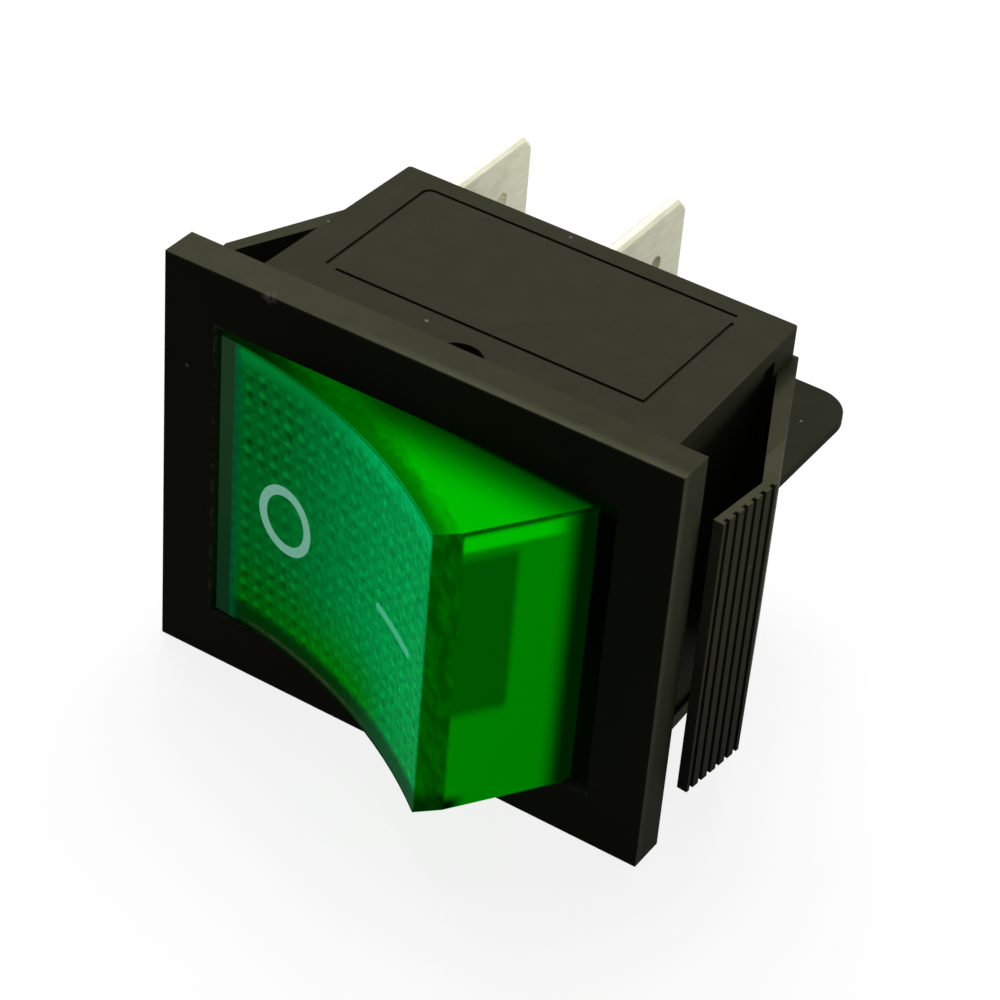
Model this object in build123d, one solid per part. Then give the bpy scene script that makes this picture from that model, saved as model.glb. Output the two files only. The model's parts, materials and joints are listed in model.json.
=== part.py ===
from build123d import *
import math
import os

# Panel-mount double-pole rocker switch with a lamp in its rocker.
# Millimetres. X runs along the bezel, Y runs back through the panel, Z is up.
# The origin is the middle of the bezel's rear face, the plane of the panel's front.
# The switch is drawn in OFF: the rocker's left end is pressed in.

os.makedirs("parts", exist_ok=True)

# Terminals: standard tabs
tab_width = 6.3
tab_thickness = 0.8
tab_reach = 9.0            # from the body's rear face to the tip
tab_point = 0.8            # corners cut off at the tip
tab_edge = 0.2             # chamfer round both faces
tab_hole = 1.1
tab_hole_back = 3.0        # hole centre from the tip
load_tab_offset = 10.2     # load tabs from the common tabs, towards the O end
tab_offset = 0.45          # tongues from their heads, away from the plate
slot_gap = 0.05            # round a tab in its slot

# Rocker, drawn level and then tilted about its pivot
rocker_tilt = 21.4         # each way from level
pivot_depth = 1.6          # pivot behind the panel's front
face_half = 9.55
face_rise = 7.9            # face ends in front of the pivot
face_dish = 1.45
face_wall = 1.2
rocker_wall = 1.1
bevel_out = 0.65
bevel_back = 1.4
skirt_half = 11.65         # half length level with the pivot
skirt_drop = 0.6           # lower edge behind the pivot
trunnion_radius = 1.4
trunnion_gap = 0.05
trunnion_boss = 2.1        # half width of the cheek round a trunnion
trunnion_recess = 0.45     # trunnion end below the housing's outer face
trunnion_chamfer = 0.28

# Housing
partition = 1.0            # between the poles
lamp_lane = 2.25           # room for the lamp strip beside the partition
pole_margin = 0.15         # tab heads to the long walls
rocker_gap = 0.18          # rocker to the long walls
end_gap = 0.12             # rocker to the end walls at its widest
side_wall = 1.46
end_wall = 0.74
end_taper = 0.5            # the body is this much shorter each end at the rear
rear_wall = 1.5
body_corner = 0.2
bezel_overhang = 2.04      # past the long sides of the body
bezel_end_overhang = 2.78
bezel_depth = 2.28
bezel_edge = 0.06          # chamfer round the bezel's front
window_step = 0.2          # window lip past the pocket
window_depth = 2.0
divider_thickness = 0.6    # plate behind the body, between the two rows of tabs
divider_reach = 9.4
divider_corner = 2.25
groove_width = 0.22        # frame engraved on the upper long face
groove_depth = 0.15
groove_corner = 0.45
groove_break = 0.66        # half of each opening in the frame
groove_left = 2.1          # frame from the body's edges
groove_right = 2.81
groove_front = 4.43        # frame from the bezel's rear face
groove_rear = 1.3
recess_depth = 0.3         # shallow pockets in the end walls, behind the arms
recess_wall = 0.9

# Snap arms, moulded with the housing
arm_standoff = 3.85        # ribbed pad from the body at the bezel
arm_start = 0.45           # pad behind the bezel
arm_lean = 5.7             # pad against the insertion direction
arm_pad = 0.62             # pad thickness
arm_leg = 1.03             # leg thickness
arm_root = 0.28            # leg past the body at its root
arm_inset = 1.86           # arm ends below the long faces
rib_count = 6
rib_pitch = 0.77
rib_slot = 0.3
rib_depth = 0.22

# Contact system
plunger_radius = 1.22
plunger_gap = 0.08
plunger_reach = 6.48       # centre of the round tip behind the pivot
plunger_length = 8.0
tube_wall = 0.8
tube_drop = 2.2            # tube mouth behind the pivot
web_thickness = 2.1        # web between the two tubes
web_depth = 2.1
spring_radius = 0.62
spring_wire = 0.2
spring_turns = 5
spring_sides = 4           # its wire is drawn with flat sides
spring_seat = 0.1
tip_gap = 0.15             # tip to the bridge at mid travel
bridge_tilt = 10.0         # each way from level
bridge_thickness = 0.5
bridge_width = 3.6
bridge_waist = 2.9
waist_half = 1.0
cradle_radius = 5.0        # hollow in the bridge that the tip rides over
cradle_slope = 34.0
cradle_half = 3.3
bridge_short = 4.9
fulcrum_gap = 0.05
ear_gap = 0.1
ear_rise = 1.6
fulcrum_stand = 3.77       # fulcrum edge in front of the floor
head_shoulder = 0.4
contact_arm = 8.7          # fulcrum to the moving contact
contact_radius = 1.3
contact_head = 0.5
contact_stem = 0.7
contact_edge = 0.25        # chamfer round each contact's face
contact_gap = 0.08         # left between the contacts in ON
shelf_end = 3.7            # shelf past the load tab
bend_radius = 0.6
strip_width = 1.25
strip_end = 4.2            # lamp strip past the fulcrum

# Lamp
bulb_radius = 1.75
bulb_length = 8.6
bulb_start = 1.2
bulb_level = 2.9           # lamp axis in front of the pivot
bulb_dome = 1.4            # rounding of the lamp's closed end
resistor_radius = 0.8
resistor_length = 4.0
resistor_edge = 0.27
lead_radius = 0.22
lead_sides = 8             # leads are drawn with flat sides
lead_start = 1.0           # straight stretch out of the lamp
lead_bend = 0.5
lead_level = 0.6           # cross run in front of the pivot
lead_hole_gap = 0.1
lead_end_gap = 0.05        # lead tip to its strip, in OFF and ON

past = 2.0                 # cutters run this far past what they cut

# Sizes that follow from those above
pole = partition / 2 + lamp_lane + tab_width / 2
pocket_half_height = pole + tab_width / 2 + pole_margin
rocker_half_height = pocket_half_height - rocker_gap
body_half_height = pocket_half_height + side_wall
tilt = math.radians(rocker_tilt)
bridge_front = pivot_depth + plunger_reach + plunger_radius + tip_gap
fulcrum_depth = bridge_front + bridge_thickness + fulcrum_gap
floor_depth = fulcrum_depth + fulcrum_stand
body_depth = floor_depth + rear_wall
face_depth = pivot_depth - face_rise
shoulder = (face_half + bevel_out, face_depth + bevel_back)


def tilted(point, angle, centre):
    """A point of the XY plane turned about a centre, anticlockwise seen from +Z."""
    x, y = point[0] - centre[0], point[1] - centre[1]
    c, s = math.cos(angle), math.sin(angle)
    return (centre[0] + c * x - s * y, centre[1] + s * x + c * y)


pivot_point = (0, pivot_depth)
pressed_reach = max(
    abs(tilted((-x, y), -tilt, pivot_point)[0])
    for x, y in (shoulder, (face_half, face_depth), (skirt_half, pivot_depth))
)
pocket_half_length = max(pressed_reach, skirt_half) + end_gap
body_half_front = pocket_half_length + end_wall
body_half_rear = body_half_front - end_taper
bezel_length = 2 * (body_half_front + bezel_end_overhang)
bezel_height = 2 * (body_half_height + bezel_overhang)
rocker_axis = Axis((0, pivot_depth, 0), (0, 0, 1))
bridge_axis = Axis((0, fulcrum_depth, 0), (0, 0, 1))


def prism(outline, low, high):
    """A face of the XY plane pulled from one height to another."""
    return extrude(Pos(0, 0, low) * outline, high - low, dir=(0, 0, 1))


def across(outline, left, right):
    """A face drawn as (Y, Z) pulled from one X to another."""
    return extrude(Plane.YZ.offset(left) * outline, right - left)


def block(x, y, z):
    """A box between two X, two Y and two Z values."""
    size = Box(x[1] - x[0], y[1] - y[0], z[1] - z[0], align=Align.MIN)
    return Pos(x[0], y[0], z[0]) * size


def rod(radius, start, length, direction):
    """A round bar from a point, along a direction."""
    return extrude(Plane(origin=start, z_dir=direction) * Circle(radius), length)


def arm_outline():
    """One snap arm, at the +X end: a ribbed pad and a leg that runs back to the body."""
    lean = math.radians(arm_lean)
    along = (math.sin(lean), math.cos(lean))
    out = (math.cos(lean), -math.sin(lean))
    length = rib_count * rib_pitch
    front = (body_half_front + arm_standoff, arm_start)
    back = (front[0] + along[0] * length, front[1] + along[1] * length)
    root = (body_half_rear + arm_root, body_depth)
    run = (root[0] - back[0], root[1] - back[1])
    size = math.hypot(*run)
    inward = (-run[1] / size * arm_leg, run[0] / size * arm_leg)
    inner_root = (root[0] + inward[0] + run[0] / size, root[1] + inward[1] + run[1] / size)
    inner_back = (back[0] + inward[0], back[1] + inward[1])
    pad_in = (-out[0] * arm_pad, -out[1] * arm_pad)
    inner_front = (front[0] + pad_in[0], front[1] + pad_in[1])
    knee_share = (inner_back[1] - inner_front[1]) / along[1]
    knee = (inner_front[0] + along[0] * knee_share, inner_back[1])
    inside = (body_half_rear - arm_root, body_depth)
    points = [front, back, root, inside, inner_root, knee, inner_front]
    slots = []
    for index in range(rib_count):
        at = (index + 0.5) * rib_pitch
        middle = (front[0] + along[0] * at, front[1] + along[1] * at)
        slots.append(Pos(*middle) * Rot(0, 0, -arm_lean) * Rectangle(2 * rib_depth, rib_slot))
    return Polygon(*points, align=None), slots


def snap_arm():
    outline, slots = arm_outline()
    reach = body_half_height - arm_inset
    arm = prism(outline, -reach, reach)
    for slot in slots:
        arm -= prism(slot, -reach, reach)
    return arm


def frame_groove():
    """The open rectangle engraved on the upper long face, drawn in that face's plane."""
    length = 2 * body_half_rear - groove_left - groove_right
    width = body_depth - groove_front - groove_rear
    half = groove_width / 2
    frame = Rectangle(length, width, align=Align.MIN)
    frame = fillet(frame.vertices().sort_by(Axis.X)[:2].sort_by(Axis.Y)[-1:], groove_corner)
    ring = offset(frame, half) - offset(frame, -half)
    ring -= Rectangle(2 * groove_break, groove_width)
    ring -= Pos(length, width) * Rectangle(groove_width, 2 * groove_break)
    return Pos(groove_left - body_half_rear, groove_front) * ring


def housing():
    """Bezel, body, partition, rear plate and snap arms, moulded in one piece."""
    bezel = block((-bezel_length / 2, bezel_length / 2), (-bezel_depth, 0),
                  (-bezel_height / 2, bezel_height / 2))
    side = [(body_half_front, 0), (body_half_rear, body_depth)]
    bezel = chamfer(bezel.edges().group_by(Axis.Y)[0], bezel_edge)
    outline = Polygon(*side, *[(-x, y) for x, y in reversed(side)], align=None)
    outline = fillet(outline.vertices().group_by(Axis.Y)[-1], body_corner)
    shell = bezel + prism(outline, -body_half_height, body_half_height)
    plate = block((-body_half_rear, body_half_rear), (body_depth, body_depth + divider_reach),
                  (-divider_thickness / 2, divider_thickness / 2))
    corners = plate.edges().filter_by(Axis.Z).group_by(Axis.Y)[-1]
    shell += fillet(corners, divider_corner)

    recess_reach = body_half_height - recess_wall
    recess_back = body_depth - rear_wall - recess_wall
    outer = body_half_front + past
    points = [(outer, arm_start), (body_half_front - recess_depth, arm_start),
              (body_half_rear - recess_depth, recess_back), (outer, recess_back)]
    recess = prism(Polygon(*points, align=None), -recess_reach, recess_reach)
    for turn in (0, 180):
        shell -= Rot(0, turn, 0) * recess
        shell += Rot(0, turn, 0) * snap_arm()

    chamber_half = body_half_rear - end_wall
    taper_start = pivot_depth + skirt_drop
    taper_end = pivot_depth + skirt_half * math.sin(tilt) + skirt_drop
    walls = [(pocket_half_length, -bezel_depth), (pocket_half_length, taper_start),
             (chamber_half, taper_end), (chamber_half, floor_depth)]
    pocket = Polygon(*walls, *[(-x, y) for x, y in reversed(walls)], align=None)
    shell -= prism(pocket, -pocket_half_height, pocket_half_height)
    lip_x = pocket_half_length + window_step
    lip_z = pocket_half_height + window_step
    shell -= block((-lip_x, lip_x), (-bezel_depth, window_depth - bezel_depth), (-lip_z, lip_z))

    partition_front = fulcrum_depth - ear_rise
    shell += block((-chamber_half, chamber_half), (partition_front, floor_depth + rear_wall / 2),
                   (-partition / 2, partition / 2))

    hole = trunnion_radius + trunnion_gap
    shell -= rod(hole, (0, pivot_depth, -body_half_height), 2 * body_half_height, (0, 0, 1))
    for x in (0, -load_tab_offset):
        for z in (-pole - tab_offset, pole + tab_offset):
            half_x = tab_thickness / 2 + slot_gap
            half_z = tab_width / 2 + slot_gap
            shell -= block((x - half_x, x + half_x), (floor_depth - slot_gap, body_depth),
                           (z - half_z, z + half_z))
    shell -= prism(frame_groove(), body_half_height - groove_depth, body_half_height)
    return shell


def rocker_outline():
    """Side view of the level rocker, solid."""
    edge = pivot_depth + skirt_drop
    right = [(face_half, face_depth), shoulder, (skirt_half, pivot_depth), (skirt_half, edge)]
    left = [(-x, y) for x, y in reversed(right)]
    face = ThreePointArc(left[-1], (0, face_depth + face_dish), right[0])
    return make_face(Polyline(*right, *left).edges() + [face])


def inner_outline():
    """The hollow behind the rocker's face, open towards the pivot."""
    edge = pivot_depth + skirt_drop
    top = face_depth + face_wall
    right = [(face_half - rocker_wall + bevel_out / 2, top + bevel_back / 2),
             (skirt_half - rocker_wall, pivot_depth), (skirt_half - rocker_wall, edge)]
    left = [(-x, y) for x, y in reversed(right)]
    roof = ThreePointArc(left[-1], (0, face_depth + face_dish + face_wall), right[0])
    return make_face(Polyline(*right, *left).edges() + [roof])


def rocker():
    """Translucent rocker, level: face, skirt, trunnions and the plunger tubes."""
    body = prism(rocker_outline(), -rocker_half_height, rocker_half_height)
    hollow_z = rocker_half_height - rocker_wall
    hollow = prism(inner_outline(), -hollow_z, hollow_z)
    tube = plunger_radius + plunger_gap + tube_wall
    mouth = pivot_depth + tube_drop
    roof = face_depth + face_dish
    inside = block((-tube, tube), (roof, mouth), (-hollow_z, hollow_z))
    web = block((-web_thickness / 2, web_thickness / 2), (mouth - web_depth, mouth),
                (-pole, pole))
    body -= hollow
    for z in (-pole, pole):
        body += rod(tube, (0, roof, z), mouth - roof, (0, 1, 0)) & inside
    body += web
    cheek = block((-trunnion_boss, trunnion_boss), (pivot_depth, mouth),
                  (-rocker_half_height, rocker_half_height))
    cheek -= block((-trunnion_boss, trunnion_boss), (pivot_depth, mouth), (-hollow_z, hollow_z))
    body += cheek
    for z in (-pole, pole):
        depth = roof + face_wall
        body -= rod(plunger_radius + plunger_gap, (0, depth, z), mouth - depth, (0, 1, 0))
    for z in lead_places():
        body -= rod(lead_radius + lead_hole_gap, (0, mouth - web_depth, z), web_depth, (0, 1, 0))
    trunnion_end = body_half_height - trunnion_recess
    pin = rod(trunnion_radius, (0, pivot_depth, hollow_z), trunnion_end - hollow_z, (0, 0, 1))
    pin = chamfer(pin.edges().group_by(Axis.Z)[-1], trunnion_chamfer)
    body += pin
    body += mirror(pin, Plane.XY)
    return body


def lead_places():
    """Heights of the two lamp leads, over the two lamp strips."""
    level = partition / 2 + (lamp_lane - head_shoulder) / 2
    return (level, -level)


def plunger(z):
    """Round-nosed plunger, level, hollow for its spring."""
    nose = pivot_depth + plunger_reach
    back = nose + plunger_radius - plunger_length
    pin = rod(plunger_radius, (0, back, z), nose - back, (0, 1, 0))
    pin += Pos(0, nose, z) * Sphere(plunger_radius)
    bore = spring_radius + spring_wire + plunger_gap
    return pin - rod(bore, (0, back, z), plunger_length / 2, (0, 1, 0))


def plunger_spring(z):
    """Compression spring between the rocker's face and the plunger's bore."""
    front = face_depth + face_dish + face_wall + spring_wire + spring_seat
    nose = pivot_depth + plunger_reach + plunger_radius
    back = nose - plunger_length / 2 - spring_wire - spring_seat
    height = back - front
    path = Helix(height / spring_turns, height, spring_radius)
    section = Plane(origin=path @ 0, z_dir=path % 0) * RegularPolygon(spring_wire, spring_sides)
    coil = sweep(section, path, is_frenet=True)
    return Pos(0, front, z) * Rot(-90, 0, 0) * coil


def bridge_line():
    """Middle line of the bridge strip, level, about the fulcrum."""
    middle = fulcrum_depth - fulcrum_gap - bridge_thickness / 2
    slope = math.radians(cradle_slope)
    radius = cradle_radius + bridge_thickness / 2
    vertex = middle + radius * (1 / math.cos(slope) - 1)
    arm = vertex - cradle_half * math.tan(slope)
    end = contact_arm + contact_radius
    points = [(-end, arm), (-cradle_half, arm), (0, vertex), (cradle_half, arm),
              (bridge_short, arm)]
    bend = bridge_thickness
    return FilletPolyline(*points, radius=[bend, radius, bend])


def contact_level():
    """Rear face of the level bridge at the moving contact."""
    slope = math.radians(cradle_slope)
    middle = fulcrum_depth - fulcrum_gap - bridge_thickness / 2
    radius = cradle_radius + bridge_thickness / 2
    arm = middle + radius * (1 / math.cos(slope) - 1) - cradle_half * math.tan(slope)
    return arm + bridge_thickness / 2


def bridge(z):
    """Rocking contact strip with its waist between the fulcrum's ears."""
    strip = prism(trace(bridge_line(), bridge_thickness), -bridge_width / 2, bridge_width / 2)
    notch = (bridge_width - bridge_waist) / 2
    for side in (-1, 1):
        centre = side * (bridge_width - notch) / 2
        strip -= block((-waist_half, waist_half), (bridge_front - past, fulcrum_depth + past),
                       (centre - notch / 2, centre + notch / 2))
    front = contact_level() - bridge_thickness
    strip -= rod(contact_stem, (-contact_arm, front, 0), bridge_thickness, (0, 1, 0))
    return Pos(0, 0, z) * strip


def moving_contact(z):
    """Silver rivet in the bridge's end."""
    level = contact_level()
    rivet = rod(contact_radius, (-contact_arm, level, z), contact_head, (0, 1, 0))
    rivet = chamfer(rivet.edges().group_by(Axis.Y)[-1], contact_edge)
    return rivet + rod(contact_stem, (-contact_arm, level - bridge_thickness, z),
                       bridge_thickness, (0, 1, 0))


def closed_contact():
    """Where the moving contact's face lies in ON, as (X, Y)."""
    level = contact_level() + contact_head
    angle = -math.radians(bridge_tilt)
    return tilted((-contact_arm, level), angle, (0, fulcrum_depth))


def fixed_place():
    """Middle of the fixed contact's face, as (X, Y)."""
    x, y = closed_contact()
    dip = contact_radius * math.sin(math.radians(bridge_tilt))
    return (x, y + dip + contact_gap)


def tab(x, z, front):
    """A flat tongue from its head inside to its chamfered tip behind the body."""
    z += math.copysign(tab_offset, z)
    tip = body_depth + tab_reach
    half = tab_width / 2
    shape = Polygon((front, z - half), (tip - tab_point, z - half), (tip, z - half + tab_point),
                    (tip, z + half - tab_point), (tip - tab_point, z + half), (front, z + half),
                    align=None)
    shape -= Pos(tip - tab_hole_back, z) * Circle(tab_hole / 2)
    blade = across(shape, x - tab_thickness / 2, x + tab_thickness / 2)
    straight = blade.edges().filter_by(GeomType.LINE).filter_by(Axis.X, reverse=True)
    joined = 2             # the two edges at its head
    return chamfer(straight.sort_by(Axis.Y)[joined:], tab_edge)


def common_terminal(z):
    """Centre tab: its inner end is the bridge's fulcrum, between two ears."""
    blade = tab(0, z, floor_depth)
    half_x = tab_thickness / 2
    half_z = tab_width / 2
    inner = z - math.copysign(half_z + head_shoulder, z)
    outer = z + math.copysign(half_z, z)
    head = block((-half_x, half_x), (fulcrum_depth - ear_rise, floor_depth),
                 sorted((inner, outer)))
    notch = bridge_waist / 2 + ear_gap
    head -= block((-half_x, half_x), (fulcrum_depth - ear_rise, fulcrum_depth),
                  (z - notch, z + notch))
    return blade + head


def load_terminal(z):
    """Load tab: bent over inside into a shelf for the fixed contact and a lamp strip."""
    x, face = fixed_place()
    shelf = face + contact_head
    low = -load_tab_offset - tab_thickness / 2
    far = -load_tab_offset + shelf_end
    half_z = tab_width / 2
    profile = Polygon((low, shelf), (far, shelf), (far, shelf + tab_thickness),
                      (low + tab_thickness, shelf + tab_thickness),
                      (low + tab_thickness, floor_depth), (low, floor_depth), align=None)
    outside = profile.vertices().sort_by(Axis.Y)[:2].sort_by(Axis.X)[:1]
    profile = fillet(outside, bend_radius)
    body = prism(profile, z - half_z, z + half_z) + tab(-load_tab_offset, z, floor_depth)
    lane = math.copysign(lead_places()[0], z)
    strip = block((low + bend_radius, strip_end), (shelf, shelf + tab_thickness),
                  (lane - strip_width / 2, lane + strip_width / 2))
    body += strip
    neck = sorted((lane, z))
    body += block((low + bend_radius, far), (shelf, shelf + tab_thickness), neck)
    body -= rod(contact_stem, (x, shelf, z), tab_thickness, (0, 1, 0))
    return body


def fixed_contact(z):
    """Silver rivet on the load terminal's shelf."""
    x, face = fixed_place()
    rivet = rod(contact_radius, (x, face, z), contact_head, (0, 1, 0))
    rivet = chamfer(rivet.edges().group_by(Axis.Y)[0], contact_edge)
    return rivet + rod(contact_stem, (x, face + contact_head, z), tab_thickness, (0, 1, 0))


def neon_lamp():
    """Sealed glass tube, level, with its pinch towards the leads."""
    level = pivot_depth - bulb_level
    end = bulb_start - bulb_length
    glass = rod(bulb_radius, (end, level, 0), bulb_length, (1, 0, 0))
    glass = fillet(glass.edges().group_by(Axis.X)[0], bulb_dome)
    return glass


def lamp_resistor():
    """Series resistor in the upper lead, level."""
    level = pivot_depth - bulb_level
    start = bulb_start + resistor_radius
    body = rod(resistor_radius, (start, level, lead_places()[0]), resistor_length, (1, 0, 0))
    return chamfer(body.edges(), resistor_edge)


def lamp_lead(index):
    """Springy lamp wire, level, down to the lamp strip of one load terminal."""
    level = pivot_depth - bulb_level
    place = lead_places()[index]
    shelf = fixed_place()[1] + contact_head
    tip = pivot_depth + (shelf - pivot_depth) * math.cos(tilt) - lead_end_gap
    cross = pivot_depth - lead_level
    if index == 0:
        begin = (bulb_start + resistor_radius + resistor_length, level, place)
    else:
        begin = (bulb_start, level, place / 2)
    out = begin[0] + lead_start
    path = FilletPolyline(begin, (out, level, begin[2]), (out, cross, place),
                          (0, cross, place), (0, tip, place), radius=lead_bend)
    section = Plane(origin=path @ 0, z_dir=path % 0) * RegularPolygon(lead_radius, lead_sides)
    return sweep(section, path)


def to_off(shape):
    """Tilts a piece of the level rocker to OFF."""
    return shape.rotate(rocker_axis, -rocker_tilt)


def bridge_off(shape):
    """Tilts a piece of the level bridge to OFF."""
    return shape.rotate(bridge_axis, bridge_tilt)


def whole(shape):
    """The one solid that a piece is made of."""
    return shape.solids()[0] if len(shape.solids()) == 1 else shape


pieces = {"housing": housing(), "rocker": to_off(rocker())}
for name, z in (("upper", pole), ("lower", -pole)):
    pieces["common_terminal_" + name] = common_terminal(z)
    pieces["load_terminal_" + name] = load_terminal(z)
    pieces["fixed_contact_" + name] = fixed_contact(z)
    pieces["contact_bridge_" + name] = bridge_off(bridge(z))
    pieces["moving_contact_" + name] = bridge_off(moving_contact(z))
    pieces["plunger_" + name] = to_off(plunger(z))
    pieces["plunger_spring_" + name] = to_off(plunger_spring(z))
pieces["neon_lamp"] = to_off(neon_lamp())
pieces["lamp_resistor"] = to_off(lamp_resistor())
pieces["lamp_lead_upper"] = to_off(lamp_lead(0))
pieces["lamp_lead_lower"] = to_off(lamp_lead(1))

for name, shape in pieces.items():
    export_step(whole(shape), "parts/" + name + ".step")
print("bezel", round(bezel_length, 2), "x", round(bezel_height, 2))
print("body", round(2 * body_half_front, 2), round(2 * body_half_rear, 2), round(body_depth, 2))
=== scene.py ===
# %% [markdown]
# # A rocker switch for a panel
# This lesson dresses a panel-mount rocker switch. The solid model already holds every moulding,
# contact and spring at its real size, so here each piece gets its finish. The clear green
# rocker gets the studded lining that shows through it and its printed marks.

# %% Frame
import json
import math

import bmesh
import bpy
from mathutils import Matrix, Vector


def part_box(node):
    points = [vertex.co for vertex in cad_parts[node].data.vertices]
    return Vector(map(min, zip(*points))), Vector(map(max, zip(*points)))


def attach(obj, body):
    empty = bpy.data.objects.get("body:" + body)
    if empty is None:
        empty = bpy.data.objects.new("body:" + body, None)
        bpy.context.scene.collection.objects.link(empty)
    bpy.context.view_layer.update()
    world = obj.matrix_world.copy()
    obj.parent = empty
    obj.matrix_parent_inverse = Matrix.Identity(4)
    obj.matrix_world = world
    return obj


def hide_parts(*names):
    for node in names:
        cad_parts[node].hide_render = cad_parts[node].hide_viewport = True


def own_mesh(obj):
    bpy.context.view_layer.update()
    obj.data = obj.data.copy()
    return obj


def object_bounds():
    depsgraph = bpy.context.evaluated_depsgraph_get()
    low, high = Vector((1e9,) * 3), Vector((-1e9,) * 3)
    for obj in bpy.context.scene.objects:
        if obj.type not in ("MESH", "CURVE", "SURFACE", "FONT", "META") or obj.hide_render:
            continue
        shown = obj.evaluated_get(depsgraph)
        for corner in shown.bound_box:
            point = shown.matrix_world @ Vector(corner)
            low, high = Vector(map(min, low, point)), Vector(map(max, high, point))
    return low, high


MM = 0.001

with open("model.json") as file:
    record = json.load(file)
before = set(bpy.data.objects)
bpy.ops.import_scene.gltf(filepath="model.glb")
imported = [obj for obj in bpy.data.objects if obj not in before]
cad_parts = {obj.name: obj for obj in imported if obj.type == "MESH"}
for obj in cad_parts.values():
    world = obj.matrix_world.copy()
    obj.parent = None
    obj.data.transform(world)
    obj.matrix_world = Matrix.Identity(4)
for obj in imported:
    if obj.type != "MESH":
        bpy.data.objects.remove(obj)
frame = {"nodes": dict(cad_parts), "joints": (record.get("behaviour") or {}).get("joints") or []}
nodes = frame["nodes"]
solid_box = [list(corner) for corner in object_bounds()]
print("solid model box", solid_box)

# %% [markdown]
# ## The view
# The photograph looks down on the switch from its front right, from so far off that the edges
# hardly converge. A long lens does the same. The camera stands on a line through a point near
# the middle of the body, and it is rolled a little about that line.

# %% Camera
AIM = Vector((0.722, 5.978, -0.627)) * MM
DISTANCE = 175.44 * MM
AZIMUTH = math.radians(30.25)
ELEVATION = math.radians(37.41)
ROLL = math.radians(4.96)
LENS = 118.48
SENSOR = 36.0
NEAREST = 1 * MM
FARTHEST = 20.0


def place_camera():
    look = Vector((-math.sin(AZIMUTH) * math.cos(ELEVATION),
                   math.cos(AZIMUTH) * math.cos(ELEVATION), -math.sin(ELEVATION)))
    turn = look.to_track_quat("-Z", "Y").to_matrix().to_4x4() @ Matrix.Rotation(ROLL, 4, "Z")
    camera = bpy.data.cameras.new("camera")
    camera.lens = LENS
    camera.sensor_width = SENSOR
    camera.clip_start = NEAREST
    camera.clip_end = FARTHEST
    holder = bpy.data.objects.new("camera", camera)
    holder.matrix_world = Matrix.Translation(AIM - look * DISTANCE) @ turn
    bpy.context.scene.collection.objects.link(holder)
    bpy.context.scene.camera = holder
    return holder


camera = place_camera()
print("camera at", [round(v / MM, 1) for v in camera.matrix_world.translation], "mm")

# %% [markdown]
# ## Writing shaders as sums
# A finish is a web of nodes, and most of them only add, multiply or compare numbers. A small
# class wraps one socket, and Python's own signs add the Math nodes, so that a mask reads like
# a formula. Most masks are fades. A fade is kept as three numbers: where it starts, where it
# is full, and its share there, which is 1 when it is left out. A band is kept as its low end,
# its high end and how soft both are.


# %% Sockets
class Socket:
    """One output in a web of nodes. Sums on it add Math nodes."""

    def __init__(self, web, output):
        self.web = web
        self.output = output

    def math(self, operation, *others):
        """A Math node on this value and others."""
        values = dict(enumerate((self, *others)))
        return self.web.node("ShaderNodeMath", {"operation": operation}, values)

    def __add__(self, other):
        return self.math("ADD", other)

    def __radd__(self, other):
        return self.math("ADD", other)

    def __mul__(self, other):
        return self.math("MULTIPLY", other)

    def __rmul__(self, other):
        return self.math("MULTIPLY", other)

    def __sub__(self, other):
        return self.math("SUBTRACT", other)

    def __rsub__(self, other):
        return (self * -1.0).math("ADD", other)

    def fade(self, start, full, share=1.0):
        """0 before start, share past full, and smooth on the way. It may run downwards."""
        low, high = (0.0, share) if start < full else (share, 0.0)
        return self.web.node("ShaderNodeMapRange", {"interpolation_type": "SMOOTHSTEP"},
                             {"Value": self, "From Min": min(start, full),
                              "From Max": max(start, full), "To Min": low, "To Max": high},
                             "Result")

    def inside(self, low, high, soft):
        """1 between low and high and 0 outside. Each edge is soft for so far on both sides."""
        return self.fade(low - soft, low + soft) * self.fade(high + soft, high - soft)

    def most(self, *others):
        """The largest of several numbers, which lays masks over each other."""
        largest = self
        for other in others:
            largest = largest.math("MAXIMUM", other)
        return largest

    def size(self):
        """The value without its sign."""
        return self.math("ABSOLUTE")

    def beside(self, name):
        """Another output of the same node."""
        return Socket(self.web, self.output.node.outputs[name])


class Web:
    """A web of nodes: a finish, a shape or the room."""

    def __init__(self, tree):
        self.tree = tree

    def connect(self, socket, value):
        """Links Sockets to an input, or sets the input to a plain value."""
        if isinstance(value, Socket):
            self.tree.links.new(value.output, socket)
        elif isinstance(value, list):
            for part in value:
                self.connect(socket, part)
        elif socket.type == "RGBA":
            socket.default_value = (*value, 1.0)
        else:
            socket.default_value = value

    def node(self, kind, settings=None, inputs=None, output=0):
        """Any node: its settings first, then the values or links of its sockets.

        A node that ends a web has None as its output.
        """
        node = self.tree.nodes.new(kind)
        for key, value in (settings or {}).items():
            setattr(node, key, value)
        for key, value in (inputs or {}).items():
            self.connect(node.inputs[key], value)
        return None if output is None else Socket(self, node.outputs[output])

    def vector(self, x, y, z=0.0):
        """Three numbers as one vector."""
        return self.node("ShaderNodeCombineXYZ", {}, {"X": x, "Y": y, "Z": z}, "Vector")


print("sums on sockets are ready")

# %% [markdown]
# A finish takes the place of each point in millimetres, makes masks from it with noise and
# fades, and lays its colours through them. Colours go through Mix and Vector Math nodes,
# because a Math node would turn them grey.

# %% Finishes
# A Mix node has a set of sockets for each kind of value. These are the places of its colours.
MIX_FACTOR = 0
MIX_FIRST = 6
MIX_SECOND = 7
MIX_RESULT = 2

# Noise with finer detail, so that its patches have frayed edges.
FRAYED = {"detail": 3.0, "roughness": 0.6}


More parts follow.
